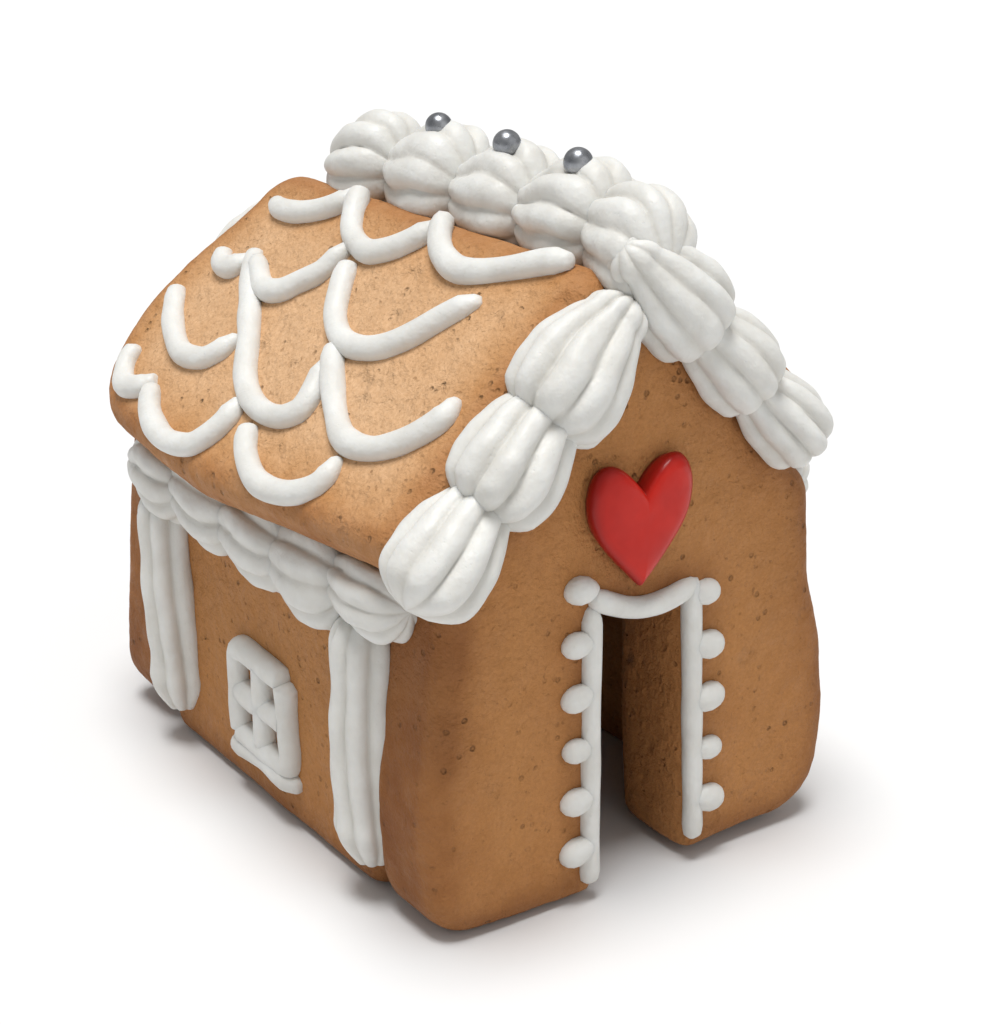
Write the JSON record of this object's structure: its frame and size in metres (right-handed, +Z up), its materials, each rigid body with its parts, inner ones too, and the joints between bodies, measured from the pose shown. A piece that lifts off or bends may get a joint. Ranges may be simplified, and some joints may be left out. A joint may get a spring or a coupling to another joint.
{
  "type": "gingerbread house",
  "caption": "Small gingerbread house with a door slot through each gable, scalloped icing on the roof, piped shells along its edges, silver pearls on the ridge and a red heart over the door.",
  "frame": {"origin": "middle of the footprint, on the base that the walls stand on", "axes": "+Z up, +Y from the front gable to the back gable along the ridge, +X to the right as the front gable is seen from the front"},
  "size_m": [0.0508, 0.0682, 0.0641],
  "materials": {
    "gingerbread": "matte, baked biscuit with a fine crumb",
    "royal_icing": "satin, dried sugar icing",
    "red_icing": "glossy, set sugar icing"
  },
  "bodies": {
    "root": {"front_gable": "gingerbread", "back_gable": "gingerbread", "left_wall": "gingerbread", "right_wall": "gingerbread", "left_roof": "gingerbread", "right_roof": "gingerbread", "ridge_icing": "royal_icing", "front_left_slope_icing": "royal_icing", "front_right_slope_icing": "royal_icing", "back_left_slope_icing": "royal_icing", "back_right_slope_icing": "royal_icing", "left_eave_icing": "royal_icing", "right_eave_icing": "royal_icing", "front_left_corner_icing": "royal_icing", "front_right_corner_icing": "royal_icing", "back_left_corner_icing": "royal_icing", "back_right_corner_icing": "royal_icing", "heart": "red_icing"}
  },
  "joints": []
}
